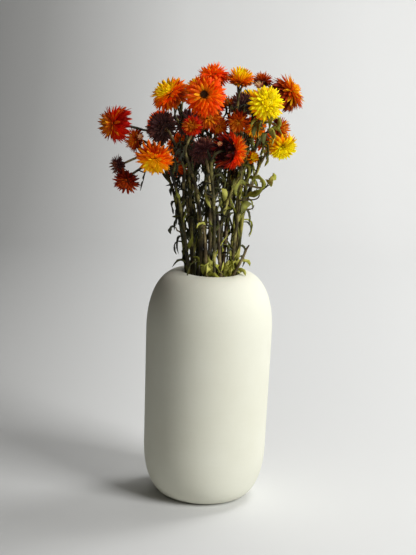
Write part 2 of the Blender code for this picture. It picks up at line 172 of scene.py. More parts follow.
def vase_profile():
    """(radius, height) of each ring, from the underside up the outside, over the lip and down the inside."""
    top = VASE_HEIGHT
    turn_in = top - SHOULDER_DROP
    low = VASE_RADIUS - VASE_TAPER
    foot = corner(BASE_RADIUS, low, FOOT_RISE, 0.0, FOOT_POWER, 18)
    shoulder = corner(MOUTH_RADIUS + LIP_ROUND, VASE_RADIUS, turn_in, top, SHOULDER_POWER, 24)
    inner_shoulder = corner(MOUTH_RADIUS, VASE_RADIUS - WALL, turn_in, top - WALL, SHOULDER_POWER, 10)
    inner_foot = corner(BASE_RADIUS, low - WALL, FOOT_RISE, FLOOR_Z, FOOT_POWER, 8)
    lip = []
    for step in range(1, LIP_STEPS):
        angle = math.pi / 2 * step / LIP_STEPS
        out = MOUTH_RADIUS + LIP_ROUND * (1 - math.sin(angle))
        lip.append((out, top - LIP_ROUND * (1 - math.cos(angle))))
    lip.append((MOUTH_RADIUS, top - LIP_ROUND))
    return foot[::-1] + shoulder + lip + inner_shoulder[::-1] + inner_foot


def finished(piece, name, material, nodes):
    """Names a piece, gives it its material, and lets it ride with the object."""
    piece.name = name
    piece.data.name = name
    piece.data.materials.clear()
    piece.data.materials.append(material)
    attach(piece, "root")
    if nodes:
        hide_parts(*nodes)


def add_alone(operator, **settings):
    """Adds a primitive with nothing else selected, and gives its object."""
    bpy.ops.object.select_all(action="DESELECT")
    operator(**settings)
    return bpy.context.object


def turned_vase():
    profile = vase_profile()
    radius, height = profile[0]
    vase = add_alone(bpy.ops.mesh.primitive_circle_add, vertices=VASE_SIDES, radius=radius, fill_type="NGON")
    bpy.ops.object.mode_set(mode="EDIT")
    bpy.ops.mesh.select_all(action="SELECT")
    for next_radius, next_height in profile[1:]:
        bpy.ops.mesh.extrude_region_move(TRANSFORM_OT_translate={"value": (0, 0, next_height - height)})
        grown = next_radius / radius
        bpy.ops.transform.resize(value=(grown, grown, 1), center_override=(0, 0, next_height))
        radius, height = next_radius, next_height
    bpy.ops.mesh.select_all(action="SELECT")
    bpy.ops.mesh.normals_make_consistent(inside=False)
    bpy.ops.object.mode_set(mode="OBJECT")
    bpy.ops.object.shade_smooth()
    return vase


def stoneware():
    clay = Finish("matt_stoneware", Roughness=0.72, Specular_IOR_Level=0.35)
    place = clay.place()
    cloud = clay.noise(place, 14.0, 4.0)
    grain = clay.noise(place, 900.0, 2.0, 0.7)
    speck = clay.ramp(clay.noise(place, 260.0, 2.0, 0.6), (0.70, (0, 0, 0)), (0.78, (1, 1, 1)))
    glaze = clay.ramp(cloud, (0.3, (0.755, 0.750, 0.630)), (0.7, (0.800, 0.800, 0.690)))
    clay.feed({"Base_Color": clay.mix(speck * 0.10, glaze, (0.45, 0.40, 0.30))})
    throwing = clay.node("ShaderNodeTexWave", {"bands_direction": "Z"},
                         {"Vector": place, "Scale": 60.0, "Distortion": 1.5, "Detail": 2.0})
    clay.bump(grain * 0.7 + cloud * 0.5 + throwing * 0.15, 0.25, 0.4 * MM)
    return clay.material


finished(turned_vase(), "vase_turned", stoneware(), ["vase"])

# The stems' routes: stiff dry stems that stand on the vase's floor, press apart in its mouth and
# lean out to their heads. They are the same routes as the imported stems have.

STEM_FOOT_RADIUS = 1.9 * MM
STEM_TIP_RADIUS = 1.15 * MM
STEM_SPACING = 5.6 * MM
GAP = 0.3 * MM
POINT_STEP = 6 * MM
MOUTH_REACH = MOUTH_RADIUS - 3.4 * MM
MOUTH_DRAW = 0.40
LEAN_AT_MOUTH = 0.26
RISE_BEFORE_BEND = 0.86
BEND_AT_HEAD = 0.20
SIBLING_SPACING = 0.55
SAME_HEIGHT = 0.7 * POINT_STEP
HEAD_CLEARANCE = 2.0 * MM
LEAST_APART = 0.2 * MM
HELD_BELOW = VASE_HEIGHT + 4 * MM
SETTLE_ROUNDS = 90
LAST_ROUNDS = 12
LARGEST_MOVE = 1.2 * MM
SMOOTHING = 0.30
FORK_BELOW = 88 * MM
FORK_ABOVE_MOUTH = 22 * MM
SEAT_DEPTH = 0.30

# The place and radius of a head are in millimetres, and its facing is the way that it looks.
# The first head of a stem ends its main shoot, and the others end side shoots of it.
Head = namedtuple("Head", "name stem place facing radius form colour")
HEADS = [Head(*row) for row in [
    ("head_far_left", "stem_a", (-106, -10, 389), (-1.0, -0.35, 0.1), 21, "cushion", "scarlet"),
    ("head_low_brown", "stem_b", (-40, 0, 345), (-0.3, -0.8, -0.35), 13, "small", "russet"),
    ("head_left_brown", "stem_c", (-84, 8, 372), (-1.0, -0.3, 0.15), 15, "small", "russet"),
    ("head_low_left", "stem_c", (-90, -18, 332), (-0.45, -0.8, -0.75), 16, "small", "maroon"),
    ("head_low_left_small", "stem_c", (-100, 4, 345), (-0.9, -0.4, -0.3), 12, "small", "plum"),
    ("head_left_gold", "stem_d", (-62, -40, 358), (-0.15, -0.9, -0.7), 21, "open", "amber"),
    ("head_left_dark", "stem_c", (-55, -4, 386), (-0.7, 0.8, 0.2), 20, "cup", "plum"),
    ("head_top_left", "stem_e", (-50, -12, 423), (-0.55, -0.6, 0.9), 22, "open", "amber"),
    ("head_eye", "stem_f", (-14, -38, 424), (-0.15, -1.0, 0.35), 23, "open", "orange"),
    ("head_top", "stem_g", (-8, 14, 440), (-0.45, 0.3, 0.9), 19, "cushion", "orange"),
    ("head_low_orange", "stem_f", (-9, -20, 401), (0.3, -0.9, 0.0), 16, "small", "orange"),
    ("head_red", "stem_h", (-25, -48, 394), (-0.1, -1.0, 0.05), 12, "small", "scarlet"),
    ("head_top_gold", "stem_i", (21, 0, 438), (0.15, -0.35, 1.0), 16, "cup", "gold"),
    ("head_top_brown", "stem_j", (44, 27, 436), (0.0, 0.3, 1.0), 13, "small", "russet"),
    ("head_yellow", "stem_k", (48, -28, 418), (0.3, -1.0, 0.35), 20, "open", "yellow"),
    ("head_right_top", "stem_l", (73, 3, 428), (1.0, -0.05, 0.68), 21, "disc", "gold"),
    ("head_right_brown", "stem_j", (59, 31, 420), (0.5, 0.8, 0.2), 15, "small", "maroon"),
    ("head_mid_dark", "stem_m", (24, 20, 410), (-0.3, 0.9, 0.4), 16, "cup", "plum"),
    ("head_mid_left", "stem_i", (20, -21, 397), (-0.1, -1.0, -0.5), 14, "small", "russet"),
    ("head_mid_right", "stem_k", (38, -2, 391), (0.3, -0.9, -0.5), 14, "small", "amber"),
    ("head_right_red", "stem_n", (64, 14, 388), (1.0, -0.4, 0.1), 15, "small", "russet"),
    ("head_right_yellow", "stem_n", (66, -26, 373), (0.35, -0.8, -0.75), 17, "open", "yellow"),
    ("head_centre_dark", "stem_o", (-13, -20, 369), (-0.3, 0.35, 0.9), 19, "cushion", "plum"),
    ("head_red_rim", "stem_p", (16, -48, 371), (0.9, 0.65, -0.15), 21, "cushion", "scarlet"),
    ("head_small_gold", "stem_p", (36, -14, 361), (0.35, -1.0, 0.35), 10, "bud", "gold"),
    ("head_bud", "stem_m", (10, 8, 413), (-0.3, -0.5, 0.8), 9, "bud", "russet"),
    ("head_under_left", "stem_e", (-52, 41, 415), (-0.5, 0.6, 0.3), 15, "small", "maroon"),
    ("head_mid_rust", "stem_o", (1, -4, 391), (0.2, -0.9, 0.1), 12, "small", "orange"),
    ("head_back_left", "stem_q", (-62, 62, 384), (-0.7, 0.9, 0.3), 17, "open", "orange"),
    ("head_back_low", "stem_r", (-38, 55, 362), (-0.3, 1.0, 0.0), 17, "open", "amber"),
    ("head_back_centre", "stem_s", (-8, 58, 404), (0.0, 1.0, 0.5), 18, "cup", "scarlet"),
    ("head_back_right", "stem_t", (34, 72, 410), (0.4, 1.0, 0.6), 17, "open", "yellow"),
    ("head_back_side", "stem_u", (50, 50, 372), (0.7, 0.9, 0.0), 15, "small", "amber"),
    ("head_back_under", "stem_s", (10, 52, 366), (0.1, 1.0, -0.2), 13, "small", "plum"),
    ("head_back_top", "stem_r", (-22, 46, 424), (-0.3, 0.7, 0.8), 16, "cushion", "gold"),
    ("head_dark_left", "stem_q", (-30, 25, 388), (0.2, 0.8, 0.1), 18, "cup", "plum"),
    ("head_dark_low", "stem_h", (-31, 16, 358), (-0.2, 0.8, 0.2), 13, "cup", "plum"),
]]

# Heads whose stem bends over a longer or shorter way than the others, as a share of its rise.
OWN_BENDS = {"head_far_left": 0.46, "head_left_brown": 0.30, "head_red_rim": 0.32}

# Side shoots that leave their stem higher than the others do, in millimetres.
FORK_HEIGHTS = {"head_low_left": 352, "head_low_left_small": 358}


def head_seat(row):
    """Where the stem meets the head, and the way that the head faces."""
    facing = Vector(row.facing).normalized()
    return Vector(row.place) * MM - facing * SEAT_DEPTH * row.radius * MM, facing


def bezier(a, b, c, d, step):
    """Points of a cubic curve, about a step apart."""
    count = max(4, round(((b - a).length + (c - b).length + (d - c).length) / step))
    points = []
    for number in range(count + 1):
        t = number / count
        points.append(a * (1 - t) ** 3 + b * 3 * t * (1 - t) ** 2 + c * 3 * t * t * (1 - t) + d * t ** 3)
    return points


def main_route(row):
    seat, facing = head_seat(row)
    start = seat - facing * GAP
    slot = Vector((start.x, start.y, 0)) * MOUTH_DRAW
    if slot.length > MOUTH_REACH:
        slot *= MOUTH_REACH / slot.length
    mouth = Vector((slot.x, slot.y, VASE_HEIGHT))
    rise = start.z - mouth.z
    lean = Vector((start.x - mouth.x, start.y - mouth.y, 0)) * LEAN_AT_MOUTH
    upper = bezier(start, start - facing * OWN_BENDS.get(row.name, BEND_AT_HEAD) * rise,
                   mouth + lean + Vector((0, 0, RISE_BEFORE_BEND * rise)), mouth, POINT_STEP)
    foot = Vector((slot.x * 1.05, slot.y * 1.05, FLOOR_Z + GAP + 0.3 * MM))
    lower = [mouth.lerp(foot, n / 12) for n in range(1, 13)]
    return upper + lower


def side_route(row, main):
    """A side shoot, from its head to the fork on the main stem."""
    seat, facing = head_seat(row)
    start = seat - facing * GAP
    fork_z = max(start.z - FORK_BELOW, VASE_HEIGHT + FORK_ABOVE_MOUTH)
    fork_z = FORK_HEIGHTS.get(row.name, fork_z / MM) * MM
    fork = min(main, key=lambda p: abs(p.z - fork_z))
    rise = (start - fork).length
    return bezier(start, start - facing * 0.28 * rise, fork + Vector((0, 0, 0.40 * rise)), fork, POINT_STEP)


def settle(routes, mains):
    """Moves the routes apart sideways until each has room, as stems do when they are pushed into a mouth.
    The ends of a route stay where they are, and a side shoot's foot follows its main stem."""
    names = list(routes)
    counts = [len(routes[name]) for name in names]
    starts = np.cumsum([0] + counts)
    points = np.array([point for name in names for point in routes[name]])
    owner = np.repeat(np.arange(len(names)), counts)
    family = np.array([names.index(mains[name]) for name in names])[owner]
    from_head = np.arange(len(points)) - starts[owner]
    free = np.clip((from_head - 1) / 3.0, 0, 1)
    forks = {}
    for n, name in enumerate(names):
        if mains[name] != name:
            foot = starts[n + 1] - 1
            main = names.index(mains[name])
            heights = points[starts[main]:starts[main + 1], 2]
            forks[foot] = starts[main] + int(np.argmin(np.abs(heights - points[foot, 2])))
            free[foot] = 0
    middles = np.array([Vector(row.place) * MM for row in HEADS])
    reach = np.array([row.radius * MM * 0.98 + HEAD_CLEARANCE for row in HEADS])
    own_head = owner[:, None] == np.arange(len(HEADS))[None, :]
    for turn in range(SETTLE_ROUNDS):
        # Shoots that come too near each other push apart sideways.
        apart = points[:, None, :] - points[None, :, :]
        flat = np.hypot(apart[..., 0], apart[..., 1])
        near = (np.abs(apart[..., 2]) < SAME_HEIGHT) & (flat < STEM_SPACING)
        near &= (owner[:, None] != owner[None, :])
        near &= (family[:, None] != family[None, :]) | (flat > STEM_SPACING * SIBLING_SPACING)
        push = np.where(near, 0.5 * (STEM_SPACING - flat) / np.maximum(flat, LEAST_APART), 0.0)
        move = (apart[..., :2] * push[..., None]).sum(1)
        size = np.hypot(move[:, 0], move[:, 1])
        move *= (np.minimum(size, LARGEST_MOVE) / np.maximum(size, 1e-9))[:, None]
        # A head keeps off every shoot but its own.
        away = points[:, None, :] - middles[None, :, :]
        gap = np.linalg.norm(away, axis=2)
        inside = np.where((gap < reach) & ~own_head, (reach - gap), 0.0)
        move += (away[..., :2] / np.maximum(gap, MM)[..., None] * inside[..., None]).sum(1) * 0.5
        points[:, :2] += move * free[:, None]
        # The shoots stay smooth, and inside the mouth, and side shoots stay on their main stems.
        if turn < SETTLE_ROUNDS - LAST_ROUNDS:
            middle = 0.5 * (points[:-2] + points[2:]) - points[1:-1]
            inner = (owner[:-2] == owner[2:]) & (free[1:-1] > 0)
            points[1:-1][inner] += SMOOTHING * middle[inner]
        low = points[:, 2] < HELD_BELOW
        out = np.hypot(points[:, 0], points[:, 1])
        shrink = np.where(low & (out > MOUTH_REACH), MOUTH_REACH / np.maximum(out, MM), 1.0)
        points[:, :2] *= shrink[:, None]
        for foot, fork in forks.items():
            points[foot] = points[fork]
    return {name: [Vector(p) for p in points[starts[n]:starts[n + 1]]] for n, name in enumerate(names)}


def plan_routes():
    """Every head's route, by the head's name, and the head that ends the main shoot of its stem."""
    leaders, routes, mains = {}, {}, {}
    for row in HEADS:
        leader = leaders.setdefault(row.stem, row.name)
        mains[row.name] = leader
        routes[row.name] = main_route(row) if leader == row.name else side_route(row, routes[leader])
    return settle(routes, mains), mains


routes, mains = plan_routes()

# The stems: ribbed dry stalks, olive to brown, thicker at the foot, with swollen joints where the
# leaves grew. Each is a bevelled curve with its side shoots, made into one mesh.

STEM_JOINT_EVERY = 17 * MM
STEM_SIDES_SETTING = 2
SIDE_TIP_RADIUS = 0.9 * STEM_TIP_RADIUS
SIDE_FOOT_RADIUS = 0.85 * STEM_FOOT_RADIUS


def shoot_curve(name, route, tip_radius, foot_radius, seed):
    """A curve through a route, with a joint's swelling at regular lengths and a slight kink at each."""
    draw = random.Random(seed)
    curve = bpy.data.curves.new(name, "CURVE")
    curve.dimensions = "3D"
    curve.bevel_depth = 1.0
    curve.bevel_resolution = STEM_SIDES_SETTING
    curve.use_fill_caps = True
    fine = []
    for a, b in zip(route, route[1:]):
        fine += [a, a.lerp(b, 0.5)]
    fine.append(route[-1])
    spline = curve.splines.new("POLY")
    spline.points.add(len(fine) - 1)
    run = 0.0
    phase = draw.random()
    for number, point in enumerate(fine):
        if number:
            run += (point - fine[number - 1]).length
        share = number / (len(fine) - 1)
        joint = max(0.0, math.cos(math.tau * (run / STEM_JOINT_EVERY + phase))) ** 6
        shrivel = 1 + 0.10 * math.sin(run / (4.3 * MM) + 6 * phase)
        spline.points[number].co = (*point, 1.0)
        plain = tip_radius + (foot_radius - tip_radius) * share
        spline.points[number].radius = plain * (shrivel + 0.22 * joint)
    shoot = bpy.data.objects.new(name, curve)
    bpy.context.scene.collection.objects.link(shoot)
    return shoot


def join_all(pieces):
    """Joins pieces of one kind into the first."""
    bpy.ops.object.select_all(action="DESELECT")
    for piece in pieces:
        piece.select_set(True)
    bpy.context.view_layer.objects.active = pieces[0]
    if len(pieces) > 1:
        bpy.ops.object.join()
    return bpy.context.object


def dry_stem():
    stalk = Finish("dry_stem", Roughness=0.62, Specular_IOR_Level=0.3)
    ribs = stalk.noise(stalk.chart("UVMap", (14.0, 6.0, 1.0)), 2.2, 2.0)
    patches = stalk.noise(stalk.place(), 55.0, 3.0)
    green = stalk.ramp(patches, (0.34, (0.010, 0.010, 0.005)), (0.50, (0.060, 0.058, 0.014)),
                       (0.66, (0.560, 0.520, 0.110)))
    brown = stalk.ramp(patches, (0.32, (0.030, 0.018, 0.011)), (0.52, (0.190, 0.130, 0.065)),
                       (0.74, (0.620, 0.500, 0.300)))
    colour = stalk.mix(stalk.attribute("age"), green, brown)
    ribbed = stalk.mix(ribs * 0.6, colour, (0.30, 0.28, 0.16), "MULTIPLY")
    stalk.feed({"Base_Color": ribbed})
    stalk.bump(ribs, 0.6, 0.5 * MM)
    return stalk.material


def set_values(piece, **values):
    """Stores a number for each vertex under each name."""
    for name, numbers in values.items():
        layer = piece.data.attributes.new(name, "FLOAT", "POINT")
        layer.data.foreach_set("value", np.asarray(numbers, np.float32))


def finished_stalk(shoots, age, name, nodes):
    """Makes the curves of some shoots one mesh of dry stem, green at age 0 and brown at age 1."""
    join_all(shoots)
    bpy.ops.object.convert(target="MESH")
    bpy.ops.object.shade_smooth()
    stalk = bpy.context.object
    set_values(stalk, age=np.full(len(stalk.data.vertices), age))
    finished(stalk, name, stem_finish, nodes)


stem_finish = dry_stem()
for number, (head, main) in enumerate(mains.items()):
    if head != main:
        continue
    stem = HEADS[number].stem
    shoots = [shoot_curve(stem, routes[head], STEM_TIP_RADIUS, STEM_FOOT_RADIUS, number)]
    for other in mains:
        if mains[other] == head and other != head:
            shoots.append(shoot_curve(other, routes[other], SIDE_TIP_RADIUS, SIDE_FOOT_RADIUS, number + 50))
    finished_stalk(shoots, random.Random(200 + number).random() ** 1.5, stem + "_stalk", [stem])

# The leaves: narrow soft leaves that dried on the stems. They rolled up, twisted and hang or press
# against the stalk, dark olive and nearly black with a few that stayed yellow-green. Those on the right
# of the bundle have painted light, a lighter tone towards the window.

LEAF_EVERY = 5.5 * MM
LEAF_TURN = 2.4
BARE_UNDER_HEAD = 14 * MM
LEAF_THICKNESS = 0.35 * MM
LEAF_OUTLINE = [0.22, 0.55, 0.80, 0.96, 1.0, 0.90, 0.68, 0.38]

# How a leaf dried: pressed upwards, hanging in a curl, or standing off. Each row has the share of the
# leaves up to it, the way out and up, and the least and most curl and sag.
LEAF_HABITS = [(0.50, 0.30, 1.0, (-0.5, 0.5), (0.0, 0.3)),
               (0.85, 0.70, 0.4, (-3.4, -1.6), (1.8, 3.4)),
               (1.00, 0.90, 0.5, (-3.0, 1.4), (0.3, 1.4))]


def select_where(piece, kind, test):
    """In edit mode, selects just the vertices, edges or faces that pass a test."""
    bpy.ops.mesh.select_mode(type=kind)
    shape = bmesh.from_edit_mesh(piece.data)
    for item in {"VERT": shape.verts, "EDGE": shape.edges, "FACE": shape.faces}[kind]:
        item.select = test(item)
    shape.select_flush_mode()
    bmesh.update_edit_mesh(piece.data)


def vertex_places(piece):
    flat = np.zeros(3 * len(piece.data.vertices), np.float32)
    piece.data.vertices.foreach_get("co", flat)
    return flat.reshape(-1, 3)


def shaped_blade(outline, name):
    """A flat blade of unit length along Y and half width 1, drawn in to its outline row by row, with a
    pointed tip, and given a thickness of 1 so that its two faces stay apart when it is bent."""
    rows = len(outline)
    blade = add_alone(bpy.ops.mesh.primitive_grid_add, x_subdivisions=2, y_subdivisions=rows, size=2.0)
    bpy.ops.object.mode_set(mode="EDIT")
    bpy.ops.mesh.select_all(action="SELECT")
    bpy.ops.transform.resize(value=(1, 0.5, 1), center_override=(0, 0, 0))
    bpy.ops.transform.translate(value=(0, 0.5, 0))
    for row in range(rows + 1):
        height = row / rows
        select_where(blade, "VERT", lambda vertex: abs(vertex.co.y - height) < 0.2 / rows)
        width = outline[row] if row < rows else 0.0
        bpy.ops.transform.resize(value=(width, 1, 1), center_override=(0, height, 0))
    bpy.ops.mesh.merge(type="CENTER")
    bpy.ops.object.mode_set(mode="OBJECT")
    corners = np.zeros(len(blade.data.loops), np.int32)
    blade.data.loops.foreach_get("vertex_index", corners)
    spread = vertex_places(blade)[corners][:, :2] * (0.5, 1.0) + (0.5, 0.0)
    chart = blade.data.uv_layers[0]
    chart.name = "along"
    chart.data.foreach_set("uv", spread.astype(np.float32).ravel())
    wall = blade.modifiers.new("thickness", "SOLIDIFY")
    wall.thickness = 1.0
    wall.offset = 0.0
    bpy.ops.object.modifier_apply(modifier=wall.name)
    bpy.ops.object.shade_smooth()
    blade.name = name
    return blade


def copies(blade, count, name):
    """As many copies of a blade in one mesh as asked for, and their vertices' places in the blade."""
    piece = blade.copy()
    piece.data = blade.data.copy()
    piece.name = name
    bpy.context.scene.collection.objects.link(piece)
    bpy.ops.object.select_all(action="DESELECT")
    piece.select_set(True)
    bpy.context.view_layer.objects.active = piece
    again = piece.modifiers.new("copies", "ARRAY")
    again.count = count
    again.use_relative_offset = False
    again.use_merge_vertices = False
    bpy.ops.object.modifier_apply(modifier=again.name)
    return piece, vertex_places(piece).reshape(count, -1, 3).astype(float)


def moved_to(piece, places):
    piece.data.vertices.foreach_set("co", places.astype(np.float32).ravel())
    piece.data.update()


def bent_leaf(unit, root, way, length, width, curl, sag, twist, fold, wave):
    """A leaf's vertices: it leaves its root along a way, sags and curls, twists, and folds at its midrib."""
    rows = 12
    point = Vector(root)
    heading = Vector(way).normalized()
    side = heading.cross(Vector((0, 0, 1)))
    side = side.normalized() if side.length > 0.05 else Vector((1, 0, 0))
    line, sides, normals = [], [], []
    for row in range(rows + 1):
        share = row / rows
        normal = side.cross(heading).normalized()
        turned = Matrix.Rotation(twist * share, 3, heading)
        line.append(tuple(point))
        sides.append(tuple(turned @ side))
        normals.append(tuple(turned @ normal))
        point = point + heading * length / rows
        heading = Matrix.Rotation(curl / rows * (0.5 + share), 3, side) @ heading
        heading = (heading + Vector((0, 0, -sag / rows))).normalized()
        side = (side - heading * side.dot(heading)).normalized()
    at = unit[:, 1] * rows
    low = np.minimum(at.astype(int), rows - 1)
    part = (at - low)[:, None]
    line, sides, normals = np.array(line), np.array(sides), np.array(normals)
    spot = line[low] * (1 - part) + line[low + 1] * part
    side = sides[low] * (1 - part) + sides[low + 1] * part
    normal = normals[low] * (1 - part) + normals[low + 1] * part
    across = unit[:, 0]
    half = width * np.cos(fold)
    lift = np.abs(across) * width * np.sin(fold)
    lift = lift + wave * width * np.sin(unit[:, 1] * 15 + 3 * across) * np.abs(across)
    thick = unit[:, 2] * LEAF_THICKNESS
    return spot + side * (across * half)[:, None] + normal * (lift + thick)[:, None]


def dry_leaf():
    leaf = Finish("dry_leaf", Roughness=0.58, Specular_IOR_Level=0.35)
    veins = leaf.noise(leaf.chart("along", (9.0, 1.6, 1.0)), 3.0, 2.0)
    patches = leaf.noise(leaf.place(), 120.0, 3.0)
    colour = leaf.ramp(leaf.attribute("tone") + (patches - 0.5) * 0.45,
                       (0.00, (0.012, 0.010, 0.006)), (0.35, (0.040, 0.042, 0.014)),
                       (0.62, (0.155, 0.160, 0.028)), (0.82, (0.430, 0.440, 0.050)),
                       (1.0, (0.680, 0.660, 0.150)))
    leaf.feed({"Base_Color": leaf.mix(veins * 0.5, colour, (0.35, 0.33, 0.20), "MULTIPLY")})
    leaf.bump(veins * 0.6 + patches * 0.6, 0.7, 0.5 * MM)
    return leaf.material


leaf_blade = shaped_blade(LEAF_OUTLINE, "leaf_blade")
leaf_finish = dry_leaf()


def leaf_sites(route, draw):
    """(root, way round, height up the shoot from 0 to 1) of each leaf of a shoot."""
    sites = []
    run = draw.random() * LEAF_EVERY
    bare_above = route[0].z - BARE_UNDER_HEAD
    for a, b in zip(route, route[1:]):
        run += (b - a).length
        if run > LEAF_EVERY and HELD_BELOW < b.z < bare_above:
            run -= LEAF_EVERY * draw.uniform(0.8, 1.25)
            height = (b.z - VASE_HEIGHT) / (bare_above - VASE_HEIGHT)
            sites.append((b, LEAF_TURN * len(sites) + draw.uniform(-0.6, 0.6), height))
        run = min(run, 1.6 * LEAF_EVERY)
    return sites


def leafy_stem(stem, shoots, seed):
    draw = random.Random(seed)
    sites = []
    for shoot in shoots:
        sites += leaf_sites(routes[shoot], draw)
    piece, units = copies(leaf_blade, len(sites), stem + "_leaves")
    places = np.zeros_like(units)
    tones = np.zeros(units.shape[:2])
    for number, (root, turn, height) in enumerate(sites):
        kind = draw.random()
        spread, rise, curls, sags = next(habit[1:] for habit in LEAF_HABITS if kind < habit[0])
        way = Vector((spread * math.cos(turn), spread * math.sin(turn), rise))
        curl = draw.uniform(*curls)
        sag = draw.uniform(*sags)
        length = draw.uniform(14, 30) * MM * (1.1 - 0.30 * height)
        width = draw.uniform(1.3, 3.0) * MM
        twist = draw.uniform(-5.0, 5.0)
        fold = math.radians(draw.uniform(35, 76))
        places[number] = bent_leaf(units[number], root, way, length, width, curl, sag, twist, fold,
                                   draw.uniform(0.15, 0.45))
        # Leaves further right, towards the window, get a lighter tone: painted light.
        painted_light_right = 0.28 * min(1.0, max(0.0, (root.x + 6 * MM) / (36 * MM)))
        tones[number] = min(1.0, draw.triangular(0.0, 0.85, 0.08) + 0.08 * (1 - height) + painted_light_right)
    moved_to(piece, places)
    set_values(piece, tone=tones.ravel())
    finished(piece, stem + "_leaves", leaf_finish, [stem])


for number, (head, main) in enumerate(mains.items()):
    if head == main:
        family = [other for other in mains if mains[other] == head]
        leafy_stem(HEADS[number].stem, family, 400 + number)

# The heads: stiff papery bracts in many whorls round a small disc. The back ones are short dark
# scales, the outer ones long and pointed, and the inner ones short and turned in.

# The whorls of each form from the back to the front: the angle above the head's plane, in degrees,
# and the reach as a share of the head's radius.
FORMS = {
    "open": [(-24, 0.98), (4, 0.96), (28, 0.78), (52, 0.52)],
    "cup": [(12, 0.95), (36, 0.98), (56, 0.88), (72, 0.70)],
    "cushion": [(-52, 1.00), (-18, 0.98), (22, 0.86), (64, 0.62)],
    "disc": [(-58, 1.00), (-26, 0.98), (4, 0.98), (32, 0.62)],
    "small": [(-14, 0.95), (24, 0.90), (58, 0.72)],
    "bud": [(40, 0.80), (62, 0.95), (78, 0.90)],
}
ROWS = {"open": 10, "cup": 9, "cushion": 11, "disc": 11, "small": 8, "bud": 5}
BRACTS_IN_ROW = {"open": 20, "cup": 18, "cushion": 22, "disc": 24, "small": 15, "bud": 9}
SCALE_ROWS = 3
CLOSING_ROWS = 3
SHOWS_DISC = ("head_eye", "head_back_low", "head_back_right")
BRACT_OUTLINE = [0.52, 0.82, 1.0, 0.94, 0.62]
BRACT_THICKNESS = 0.22 * MM
BRACT_HALF_WIDTH = 0.086
# A glow painted into the bracts, as a share of their colour: painted light that stands in for light coming
# through the thin bracts.
PAINTED_GLOW = 0.14
# The core that the bracts stand on: its widest and narrowest radius and its heights there, as shares
# of the head's radius.
CORE_WIDE, CORE_NARROW, CORE_LOW, CORE_HIGH = 0.34, 0.17, 0.12, 0.42

bract_blade = shaped_blade(BRACT_OUTLINE, "bract_blade")


def way_round(n, count, row, draw, spread):
    """The direction of a bract in its whorl, which stands between those of the whorl before."""
    return math.tau * (n + 0.5 * (row % 2)) / count + draw.gauss(0, spread)


def bract_rows(form, radius, draw, closed):
    """A row of numbers for each bract of a head: way round, root's radius and height, angles at the root
    and at the tip, length, half width, cupping, twist, and layer from 0 at the back to 1 by the disc."""
    whorls = FORMS[form]
    rows = ROWS[form]
    in_row = BRACTS_IN_ROW[form]
    made = []
    # Short scales at the back, by the stem.
    for row in range(SCALE_ROWS):
        up = row / SCALE_ROWS
        angle = whorls[0][0] - 12 - 16 * (1 - up)
        count = max(7, in_row - 6 + row)
        for n in range(count):
            turn = way_round(n, count, row, draw, 0.07)
            made.append((turn, radius * (0.14 + 0.18 * up), radius * 0.12 * up, angle + 18, angle - 4,
                         radius * (0.34 + 0.26 * up) * draw.uniform(0.85, 1.1), radius * 0.11, 0.5,
                         draw.gauss(0, 0.15), 0.02 + 0.16 * up))
    # The whorls that give the head its form, bent out at the back and in at the front.
    for row in range(rows):
        share = row / (rows - 1)
        at = share * (len(whorls) - 1)
        angle, length = [np.interp(at, range(len(whorls)), column) for column in zip(*whorls)]
        root = CORE_WIDE + (CORE_NARROW - CORE_WIDE) * share
        height = CORE_LOW + (CORE_HIGH - CORE_LOW) * share
        curl = -20 + 46 * share if form in ("open", "cushion", "disc") else -6 + 30 * share
        count = round(in_row * (1 - 0.38 * share))
        for n in range(count):
            turn = way_round(n, count, row, draw, 0.05)
            lean = draw.gauss(0, 6.5)
            if draw.random() < 0.06:
                lean += draw.uniform(-22, 22)
            reach = max(0.2, length - root * math.cos(math.radians(angle)))
            made.append((turn, radius * root, radius * height, angle - 0.5 * curl + lean,
                         angle + 0.5 * curl + lean, radius * reach * draw.uniform(0.84, 1.06),
                         radius * BRACT_HALF_WIDTH * (1 - 0.30 * share) * draw.uniform(0.85, 1.15),
                         draw.uniform(0.35, 0.75), draw.gauss(0, 0.30), 0.24 + 0.70 * share))
    # Short bracts that close over the disc.
    for row in range(CLOSING_ROWS if closed else 0):
        up = row / (CLOSING_ROWS - 1)
        count = round(in_row * (0.55 - 0.22 * up))
        for n in range(count):
            turn = way_round(n, count, row, draw, 0.08)
            made.append((turn, radius * (0.19 - 0.07 * up), radius * (0.40 + 0.04 * up), 66 + 9 * up,
                         138 + 26 * up + draw.gauss(0, 7),
                         radius * (0.37 - 0.09 * up) * draw.uniform(0.88, 1.1),
                         radius * BRACT_HALF_WIDTH * 0.74, 0.5, draw.gauss(0, 0.25), 0.96 + 0.04 * up))
    return np.array(made)


def placed_bracts(units, rows):
    """Each bract's vertices in the head's own frame, its way round and its bend worked out together."""
    turn, root, height, start, end, length, half, cup, twist, _ = [column[:, None] for column in rows.T]
    across, along, thick = units[..., 0], units[..., 1], units[..., 2]
    start, bend = np.radians(start), np.radians(end - start)
    bend = np.where(np.abs(bend) < 0.01, 0.01, bend)
    angle = start + bend * along
    out = root + length * (np.sin(angle) - np.sin(start)) / bend
    up = height - length * (np.cos(angle) - np.cos(start)) / bend
    tilt = twist * along
    ripple = 0.10 * half * np.sin(11 * along + 40 * turn) * across
    lift = cup * half * across ** 2 + thick * BRACT_THICKNESS + ripple
    aside = across * half * np.cos(tilt) - lift * np.sin(tilt)
    lift = across * half * np.sin(tilt) + lift * np.cos(tilt)
    out = out - lift * np.sin(angle)
    up = up + lift * np.cos(angle)
    x = out * np.cos(turn) - aside * np.sin(turn)
    y = out * np.sin(turn) + aside * np.cos(turn)
    return np.stack([x, y, up], axis=-1)


def set_on_stem(places, row):
    """Turns a head's vertices to the way that it faces, and sets them on its stem."""
    seat, facing = head_seat(row)
    turn = np.array(facing.to_track_quat("Z", "Y").to_matrix())
    return places @ turn.T + np.array(seat)


